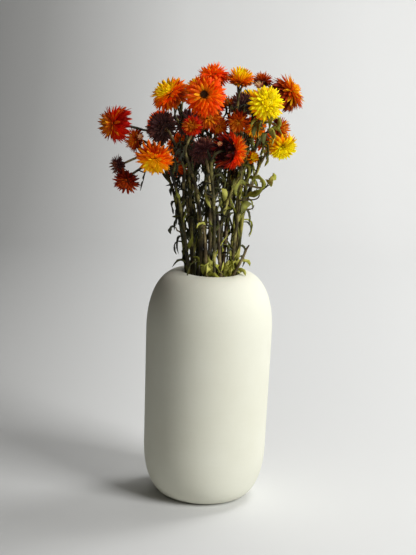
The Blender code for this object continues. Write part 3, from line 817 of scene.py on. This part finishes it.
def bracts_on_stem(row, draw, closed):
    """The bracts of a head as one piece, with their rows of numbers and their vertices' places."""
    numbers = bract_rows(row.form, row.radius * MM, draw, closed)
    piece, units = copies(bract_blade, len(numbers), row.name)
    places = set_on_stem(placed_bracts(units, numbers), row)
    moved_to(piece, places)
    return piece, numbers, places


def tint_bracts(piece, layers, draw):
    """Stores each bract's layer, and a tone drawn for it, at its vertices."""
    tones = [draw.random() for _ in layers]
    each = len(piece.data.vertices) // len(layers)
    set_values(piece, layer=np.repeat(layers, each), tone=np.repeat(tones, each))


def papery(name, layers, tip, fleck):
    """Bracts coloured from the back scales in to the disc, darker or lighter at their tips, and streaked,
    with painted shade at each root and a painted glow.
    """
    bract = Finish(name, Roughness=0.50, Specular_IOR_Level=0.10, Subsurface_Weight=0.2,
                   Subsurface_Scale=1.5 * MM, Subsurface_Radius=(1.0, 0.45, 0.15))
    layer = bract.attribute("layer")
    tone = bract.attribute("tone")
    along = bract.node("ShaderNodeSeparateXYZ", {}, {"Vector": bract.chart("along")}, "Y")
    places = (0.0, 0.22, 0.45, 0.72, 1.0)
    body = bract.ramp(layer + (tone - 0.5) * 0.16, *zip(places, layers))
    tipped = bract.mix(along ** 4.0 * 0.75, body, tip)
    flecks = bract.ramp(tone, (0.86, (0, 0, 0)), (0.93, (1, 1, 1)))
    flecked = bract.mix(flecks * (layer * 0.8), tipped, fleck)
    # Each bract is darker towards its root, where it lies under the next whorl: painted shade.
    painted_root_shade = bract.mix((1 - along) ** 3.0 * 0.5, flecked, (0.45, 0.35, 0.30), "MULTIPLY")
    brown = bract.ramp(tone, (0.0, (0.75, 0.75, 0.75)), (0.32, (0.0, 0.0, 0.0)))
    withered = bract.mix(brown, painted_root_shade, (0.42, 0.26, 0.24), "MULTIPLY")
    streaks = bract.noise(bract.chart("along", (16.0, 1.2, 1.0)), 2.0, 3.0)
    shade = bract.mix((streaks - 0.35) * 0.9, withered, (0.62, 0.52, 0.48), "MULTIPLY")
    # The bracts glow with their own colour at that share: painted light, not a lamp.
    bract.feed({"Base_Color": shade, "Emission_Color": shade, "Emission_Strength": PAINTED_GLOW})
    bract.bump(streaks, 0.35, 0.3 * MM)
    return bract.material


# Each colour's layers from the back scales in to the disc, then its tips and its palest flecks.
PALETTES = {
    "scarlet": [(0.03, 0.004, 0.005), (0.46, 0.006, 0.002), (0.8, 0.012, 0.001), (0.5, 0.04, 0.003),
                (0.64, 0.19, 0.005), (0.16, 0.006, 0.004), (0.9, 0.36, 0.01)],
    "maroon": [(0.018, 0.004, 0.005), (0.07, 0.005, 0.004), (0.18, 0.009, 0.003), (0.33, 0.022, 0.003),
               (0.42, 0.05, 0.004), (0.26, 0.02, 0.004), (0.62, 0.12, 0.01)],
    "plum": [(0.034, 0.018, 0.016), (0.062, 0.026, 0.026), (0.08, 0.027, 0.03), (0.1, 0.03, 0.028),
             (0.15, 0.045, 0.018), (0.11, 0.05, 0.036), (0.3, 0.1, 0.05)],
    "russet": [(0.024, 0.009, 0.006), (0.12, 0.012, 0.003), (0.4, 0.032, 0.002), (0.64, 0.085, 0.002),
               (0.7, 0.21, 0.006), (0.16, 0.014, 0.003), (0.9, 0.4, 0.02)],
    "orange": [(0.04, 0.006, 0.003), (0.7, 0.02, 0.001), (1.0, 0.056, 0.001), (1.0, 0.125, 0.001),
               (0.95, 0.24, 0.004), (1.0, 0.135, 0.002), (1.0, 0.44, 0.01)],
    "amber": [(0.03, 0.008, 0.003), (0.64, 0.03, 0.001), (1.0, 0.1, 0.001), (1.0, 0.29, 0.001),
              (0.98, 0.54, 0.003), (1.0, 0.3, 0.002), (1.0, 0.74, 0.01)],
    "sunset": [(0.16, 0.012, 0.003), (0.6, 0.03, 0.001), (1.0, 0.085, 0.001), (1.0, 0.23, 0.001),
               (1.0, 0.72, 0.002), (1.0, 0.26, 0.002), (1.0, 0.78, 0.01)],
    "gold": [(0.02, 0.006, 0.004), (0.1, 0.008, 0.003), (0.86, 0.1, 0.001), (1.0, 0.48, 0.001),
             (1.0, 0.82, 0.003), (0.9, 0.22, 0.002), (1.0, 0.88, 0.01)],
    "yellow": [(0.18, 0.05, 0.003), (1.0, 0.26, 0.001), (1.0, 0.66, 0.001), (1.0, 0.88, 0.001),
               (1.0, 0.78, 0.003), (1.0, 0.82, 0.002), (1.0, 0.88, 0.03)],
    "rim": [(0.01, 0.005, 0.006), (0.018, 0.006, 0.009), (0.9, 0.03, 0.001), (1.0, 0.13, 0.001),
            (0.96, 0.3, 0.003), (0.07, 0.008, 0.007), (0.9, 0.3, 0.01)],
    "crown": [(0.014, 0.005, 0.004), (0.05, 0.006, 0.004), (0.3, 0.016, 0.002), (0.82, 0.11, 0.001),
              (1.0, 0.48, 0.002), (0.52, 0.08, 0.002), (1.0, 0.8, 0.01)],
    "cream": [(0.06, 0.012, 0.01), (0.3, 0.05, 0.024), (0.66, 0.25, 0.12), (0.86, 0.52, 0.24),
              (0.9, 0.66, 0.36), (0.56, 0.13, 0.08), (0.9, 0.7, 0.4)],
}

# Heads whose layers differ from those of their colour.
OWN_PALETTE = {"head_red_rim": "rim", "head_right_top": "crown", "head_top_left": "sunset",
               "head_low_orange": "russet", "head_mid_rust": "russet"}

# Heads whose colour also turns to that of the inner layers towards one side: how much along x and z.
SLANTS = {"head_top_left": (-0.63, 0.18), "head_left_gold": (0.09, -0.45), "head_far_left": (-0.18, -0.24),
          "head_right_yellow": (0.30, -0.06)}

bract_finishes = {}
for colour, tones in PALETTES.items():
    bract_finishes[colour] = papery(colour + "_bracts", tones[:5], tones[5], tones[6])

for number, row in enumerate(HEADS):
    draw = random.Random(1000 + number)
    piece, numbers, places = bracts_on_stem(row, draw, row.name not in SHOWS_DISC)
    faded = draw.uniform(0.02, 0.09) * np.cos(numbers[:, 0] - draw.uniform(0, math.tau))
    aside = (places.mean(axis=1) - places.mean(axis=(0, 1))) / (row.radius * MM)
    along_x, along_z = SLANTS.get(row.name, (0.0, 0.0))
    faded += aside[:, 0] * along_x + aside[:, 2] * along_z
    tint_bracts(piece, numbers[:, -1] + np.where(numbers[:, -1] > 0.3, faded, 0.0), draw)
    finish = bract_finishes[OWN_PALETTE.get(row.name, row.colour)]
    finished(piece, row.name + "_bracts", finish, [row.name])

# The discs: in the middle of each head, a dome set with fine dry florets in spirals. It is brown, and
# the dome also closes the head behind its bracts.

# The golden angle, in radians, from one floret of a spiral to the next.
FLORET_TURN = 2.39996


def disc_core(row):
    """The domed receptacle that the bracts and florets stand on, from the seat up."""
    radius = row.radius * MM
    core = add_alone(bpy.ops.mesh.primitive_uv_sphere_add, segments=20, ring_count=12, radius=1.0)
    ball = vertex_places(core).astype(float)
    ball[:, :2] *= (radius * (0.30 - 0.07 * ball[:, 2]))[:, None]
    ball[:, 2] = radius * (0.225 + 0.215 * ball[:, 2])
    moved_to(core, set_on_stem(ball, row))
    bpy.ops.object.shade_smooth()
    return core


def floret_blade():
    """One floret: a small five-sided tube that widens to its open end."""
    floret = add_alone(bpy.ops.mesh.primitive_cone_add, vertices=5, radius1=0.45, radius2=0.8, depth=2.0,
                       end_fill_type="NGON")
    bpy.ops.object.mode_set(mode="EDIT")
    bpy.ops.mesh.select_all(action="DESELECT")
    select_where(floret, "FACE", lambda face: face.normal.z > 0.9)
    bpy.ops.mesh.inset(thickness=0.3, depth=-0.4)
    bpy.ops.object.mode_set(mode="OBJECT")
    bpy.ops.object.shade_smooth()
    return floret


def floret_finish():
    disc = Finish("disc_florets", Roughness=0.7)
    speckle = disc.noise(disc.place(), 700.0, 2.0)
    disc.feed({"Base_Color": disc.ramp(
        disc.attribute("tone") + (speckle - 0.5) * 0.5,
        (0.1, (0.070, 0.028, 0.008)), (0.55, (0.200, 0.085, 0.014)), (0.9, (0.520, 0.270, 0.030)))})
    disc.bump(speckle, 0.5, 0.3 * MM)
    return disc.material


floret = floret_blade()
florets_finish = floret_finish()
for number, row in enumerate(HEADS):
    radius = row.radius * MM
    draw = random.Random(2000 + number)
    count = 70 if row.form in ("open", "cushion") else 34
    piece, units = copies(floret, count, row.name + "_florets")
    places = np.zeros_like(units)
    spread = CORE_NARROW * radius * 1.15
    for n in range(count):
        share = (n + 0.5) / count
        out = spread * math.sqrt(share)
        turn = n * FLORET_TURN
        spot = np.array([out * math.cos(turn), out * math.sin(turn), radius * (0.46 - 0.10 * share)])
        thick = 0.62 * spread / math.sqrt(count)
        tall = radius * 0.055 * draw.uniform(0.8, 1.3)
        places[n] = units[n] * (thick, thick, tall) + spot
        places[n][:, :2] += spot[:2] * 0.25 * units[n][:, 2:3]
    moved_to(piece, set_on_stem(places, row))
    tones = np.array([draw.random() * (0.45 + 0.55 * (n / count)) for n in range(count)])
    set_values(piece, tone=np.repeat(tones, units.shape[1]))
    core = disc_core(row)
    set_values(core, tone=np.full(len(core.data.vertices), 0.2))
    piece = join_all([piece, core])
    finished(piece, row.name + "_disc", florets_finish, [row.name])

# Fallen leaves caught in the mouth: broader curled leaves that stayed pale green, lying against the
# lip at the front and right of the stems.

MOUTH_LEAVES = 22


def leaves_in_mouth():
    draw = random.Random(77)
    piece, units = copies(leaf_blade, MOUTH_LEAVES, "mouth_leaves")
    places = np.zeros_like(units)
    tones = np.zeros(units.shape[:2])
    for n in range(MOUTH_LEAVES):
        turn = math.radians(-112 + 130 * n / (MOUTH_LEAVES - 1) + draw.uniform(-5, 5))
        reach = MOUTH_RADIUS * draw.uniform(0.62, 0.86)
        height = VASE_HEIGHT + draw.uniform(-6, 6) * MM
        root = Vector((reach * math.cos(turn), reach * math.sin(turn), height))
        out = Vector((math.cos(turn + draw.uniform(-1.3, 1.3)), math.sin(turn + draw.uniform(-1.3, 1.3)), 0))
        way = out * draw.uniform(0.2, 0.9) + Vector((0, 0, 1))
        places[n] = bent_leaf(units[n], root, way, draw.uniform(13, 24) * MM, draw.uniform(3.4, 5.6) * MM,
                              draw.uniform(-3.6, 2.0), draw.uniform(0.4, 1.8), draw.uniform(-2.8, 2.8),
                              math.radians(draw.uniform(10, 45)), draw.uniform(0.25, 0.5))
        tones[n] = draw.uniform(0.76, 1.0)
    moved_to(piece, places)
    set_values(piece, tone=tones.ravel())
    finished(piece, "mouth_leaves", leaf_finish, [])


leaves_in_mouth()

# Leaves that stayed broad: pale green ones that hang shrivelled below the yellow head, a curled one on
# a twig of its own at the right, and a few among the stems.

# Broad leaves: root in millimetres, way, length and half width in millimetres, curl, sag, twist, tone.
BROAD_LEAVES = [
    ((48, -22, 404), (0.3, -0.6, 0.6), 24, 3.2, -3.0, 2.6, 2.0, 0.86),
    ((53, -18, 402), (0.8, -0.3, 0.5), 22, 2.8, -3.4, 2.2, -2.5, 0.80),
    ((44, -24, 397), (-0.3, -0.8, 0.4), 25, 3.0, -2.8, 2.8, 1.2, 0.74),
    ((50, -24, 392), (0.5, -0.7, 0.1), 27, 3.6, -2.4, 2.0, 3.0, 0.92),
    ((45, -22, 325), (0.55, -0.25, 1.0), 17, 1.6, -0.6, 0.2, 1.0, 0.40),
    ((53, -24, 338), (0.2, -0.5, 1.0), 15, 4.6, -2.6, 1.6, 1.4, 0.95),
    ((53, -24, 337), (1.0, -0.2, 0.6), 14, 4.0, 2.2, 0.4, -1.8, 0.84),
    ((30, -24, 334), (-0.5, -0.6, 0.7), 24, 4.2, -2.2, 1.8, 2.4, 0.72),
    ((37, -22, 338), (0.6, -0.4, 0.8), 22, 4.4, -2.6, 1.2, -2.0, 0.80),
    ((29, -24, 322), (0.8, -0.5, 0.3), 26, 4.0, 1.8, 1.0, 2.2, 0.76),
    ((40, -20, 313), (-0.8, -0.5, 0.6), 24, 3.8, -1.8, 1.4, -2.4, 0.66),
    ((-10, -32, 327), (0.3, -0.4, -1.0), 19, 1.9, 0.6, 0.0, 1.0, 1.00),
    ((6, -30, 331), (0.7, -0.5, -0.4), 15, 3.2, -1.6, 1.2, 1.8, 0.94),
    ((-38, -18, 287), (-1.0, -0.3, 0.5), 12, 2.6, -2.4, 1.8, 2.0, 0.16),
    ((-70, -20, 345), (-0.2, -0.2, -1.0), 22, 2.4, 0.5, 1.0, 1.6, 0.05),
    ((-8, -30, 292), (-0.6, -0.5, 0.8), 14, 2.6, -1.8, 0.8, 1.4, 0.98),
]

# Stalks that broke off above the mouth: foot, top and the ends of the prongs at the top.
BROKEN_STALKS = [((-3, -22, 232), (-10, -30, 291), [(-4, -1, 7), (5, -1, 6)]),
                 ((11, -23, 232), (2, -29, 313), []),
                 ((20, -14, 232), (34, -22, 268), [(3, -1, 5)])]
HANGING_LEAVES = 9


def hanging_leaf(draw, near, way, lengths, widths, tones):
    """A row for one shrivelled leaf that hangs in a curl, with its size and tone drawn from ranges."""
    return (near, way, draw.uniform(*lengths), draw.uniform(*widths), draw.uniform(-2.6, 0.6),
            draw.uniform(1.8, 3.2), draw.uniform(-4.0, 4.0), draw.uniform(*tones))


def broad_leaves():
    """The broad leaves, each with a twig where it grows clear of the stems, and the bare broken stalks."""
    draw = random.Random(88)
    leaves = list(BROAD_LEAVES)
    for _ in range(HANGING_LEAVES):
        near = (48 + draw.uniform(-7, 7), -21 + draw.uniform(-5, 5), 400 - draw.uniform(0, 26))
        way = (draw.uniform(-0.8, 0.8), draw.uniform(-0.9, 0.0), draw.uniform(-0.4, 0.5))
        leaves.append(hanging_leaf(draw, near, way, (15, 25), (1.8, 3.0), (0.45, 0.95)))
        near = (-36 + draw.uniform(-9, 9), -20 + draw.uniform(-7, 7), 376 - draw.uniform(0, 34))
        leaves.append(hanging_leaf(draw, near, way, (14, 24), (1.4, 2.6), (0.0, 0.22)))
    piece, units = copies(leaf_blade, len(leaves), "broad_leaves")
    places = np.zeros_like(units)
    spots = [point for route in routes.values() for point in route]
    twigs = []
    for n, (near, way, length, width, curl, sag, twist, _) in enumerate(leaves):
        near = Vector(near) * MM
        spot = min(spots, key=lambda point: (point - near).length + 0.5 * abs(point.z - near.z + 8 * MM))
        if (near - spot).length > 3 * MM:
            rise = Vector((0, 0, 0.4 * (near - spot).length))
            line = bezier(near, near - rise, spot + 0.5 * rise, spot, 4 * MM)
            twigs.append(shoot_curve("twig", line, 0.6 * MM, 0.9 * MM, n))
        places[n] = bent_leaf(units[n], near, Vector(way), length * MM, width * MM, curl, sag, twist,
                              math.radians(24), 0.35)
    moved_to(piece, places)
    tones = np.array([leaf[-1] for leaf in leaves])
    set_values(piece, tone=np.repeat(tones, units.shape[1]))
    finished(piece, "broad_leaves", leaf_finish, [])
    for n, (foot, top, prongs) in enumerate(BROKEN_STALKS):
        foot, top = Vector(foot) * MM, Vector(top) * MM
        bend = Vector((2 * MM, -1 * MM, 0))
        line = bezier(top, top.lerp(foot, 0.3) + bend, top.lerp(foot, 0.7) - bend, foot, 5 * MM)
        twigs.append(shoot_curve("stalk", line, 1.3 * MM, 1.9 * MM, 60 + n))
        for prong in prongs:
            tip = top + Vector(prong) * MM
            line = bezier(tip, tip.lerp(top, 0.3), tip.lerp(top, 0.7), top, 2 * MM)
            twigs.append(shoot_curve("prong", line, 0.6 * MM, 1.2 * MM, 80 + n))
    finished_stalk(twigs, 0.8, "twigs", [])


broad_leaves()

# Small buds, cream to pink, that opened late among the heads: a few closed papery bracts each, on the
# same blade as the heads have. Each row has a place, a facing and a radius, in millimetres.

BUDS = [((-77, -12, 377), (-0.2, -0.9, 0.4), 4.5), ((41, 12, 431), (-0.5, -0.5, 1.0), 6.0),
        ((3, -66, 380), (-0.3, -1.0, 0.4), 3.6)]

for number, (place, facing, size) in enumerate(BUDS):
    draw = random.Random(3000 + number)
    row = Head(f"small_bud_{number + 1}", "", place, facing, size, "bud", "cream")
    piece, numbers, _ = bracts_on_stem(row, draw, True)
    tint_bracts(piece, numbers[:, -1], draw)
    finished(piece, row.name, bract_finishes[row.colour], [])

for template in (leaf_blade, bract_blade, floret):
    bpy.data.objects.remove(template)

# The studio: a pale seamless sweep of paper from the floor up a wall, with painted shade that makes it
# darker towards the left. A soft window at the front right lights the vase, a second lamp washes the wall,
# and little else comes in.

SWEEP_WIDTH = 6.0
SWEEP_FRONT = -2.6
SWEEP_BACK = 2.1
SWEEP_HEIGHT = 3.4
SWEEP_CURVE = 0.8


def at_wall_foot(edge):
    return all(vertex.co.y > SWEEP_BACK - 0.01 and vertex.co.z < 0.01 for vertex in edge.verts)


def studio_sweep():
    sweep = add_alone(bpy.ops.mesh.primitive_plane_add, size=1.0)
    bpy.ops.object.mode_set(mode="EDIT")
    bpy.ops.mesh.select_all(action="SELECT")
    bpy.ops.transform.resize(value=(SWEEP_WIDTH, SWEEP_BACK - SWEEP_FRONT, 1), center_override=(0, 0, 0))
    bpy.ops.transform.translate(value=(0, 0.5 * (SWEEP_BACK + SWEEP_FRONT), 0))
    select_where(sweep, "EDGE", at_wall_foot)
    bpy.ops.mesh.extrude_region_move(TRANSFORM_OT_translate={"value": (0, 0, SWEEP_HEIGHT)})
    select_where(sweep, "EDGE", at_wall_foot)
    bpy.ops.mesh.bevel(offset=SWEEP_CURVE, segments=24)
    bpy.ops.mesh.select_all(action="SELECT")
    bpy.ops.mesh.normals_make_consistent(inside=False)
    bpy.ops.object.mode_set(mode="OBJECT")
    bpy.ops.object.shade_smooth()
    sweep.name = "studio_sweep"
    paper = Finish("studio_paper_painted_shade", Roughness=0.9, Specular_IOR_Level=0.1)
    across = paper.node("ShaderNodeSeparateXYZ", {}, {"Vector": paper.place()}, "X")
    # The paper's colour is painted shade: darker towards the left, and nearly black far to the left, where
    # it stands in for a dark card that keeps light off that side.
    paper.feed({"Base_Color": paper.ramp(
        across * 0.5 + 0.75, (0.32, (0.12, 0.12, 0.118)), (0.54, (0.36, 0.36, 0.355)),
        (0.71, (0.70, 0.705, 0.70)), (0.925, (0.80, 0.805, 0.80)))})
    sweep.data.materials.append(paper.material)


def area_light(name, place, target, size, power, colour):
    light = bpy.data.lights.new(name, "AREA")
    light.shape = "RECTANGLE"
    light.size, light.size_y = size
    light.energy = power
    light.color = colour
    lamp = bpy.data.objects.new(name, light)
    lamp.location = place
    lamp.rotation_euler = (Vector(target) - Vector(place)).to_track_quat("-Z", "Y").to_euler()
    bpy.context.scene.collection.objects.link(lamp)


studio_sweep()
area_light("key_window", (1.62, -1.12, 1.5), (0, 0, 0.28), (1.0, 1.3), 50.0, (1.0, 1.0, 0.99))
area_light("wall_wash", (1.1, 0.8, 2.6), (0.1, 2.1, 0.8), (1.6, 0.8), 44.0, (1.0, 1.0, 1.0))

world = bpy.data.worlds.new("studio_air")
world.use_nodes = True
air = world.node_tree.nodes["Background"]
air.inputs["Color"].default_value = (1.0, 0.95, 0.82, 1.0)
air.inputs["Strength"].default_value = 0.07
bpy.context.scene.world = world
bpy.context.scene.view_settings.view_transform = "Standard"

# The camera: a long lens 1.5 m away that looks down on the vase's mouth at 12 degrees and is rolled a
# little, as in the photograph. The lens follows from how many pixels a metre takes at the target.

PHOTO_WIDTH, PHOTO_HEIGHT = 416, 555
CAMERA_DISTANCE = 1.5
CAMERA_ELEVATION = math.radians(12)
CAMERA_ROLL = math.radians(2.4)
PIXELS_PER_METRE_AT_TARGET = 967
TARGET = Vector((0, 0, 0.240))
TARGET_PIXEL = (211.5, 270.8)
SENSOR = 36.0

camera_data = bpy.data.cameras.new("camera")
camera_data.sensor_fit = "VERTICAL"
camera_data.sensor_height = SENSOR
camera_data.lens = PIXELS_PER_METRE_AT_TARGET * CAMERA_DISTANCE / PHOTO_HEIGHT * SENSOR
camera_data.shift_x = (PHOTO_WIDTH / 2 - TARGET_PIXEL[0]) / PHOTO_HEIGHT
camera_data.shift_y = (TARGET_PIXEL[1] - PHOTO_HEIGHT / 2) / PHOTO_HEIGHT
camera_data.clip_end = 50.0
camera = bpy.data.objects.new("camera", camera_data)
back = Vector((0, -math.cos(CAMERA_ELEVATION), math.sin(CAMERA_ELEVATION)))
upright = (-back).to_track_quat("-Z", "Y").to_matrix()
camera.matrix_world = Matrix.Translation(TARGET + back * CAMERA_DISTANCE) @ (
    upright @ Matrix.Rotation(CAMERA_ROLL, 3, "Z")).to_4x4()
bpy.context.scene.collection.objects.link(camera)
bpy.context.scene.camera = camera

bpy.context.view_layer.update()
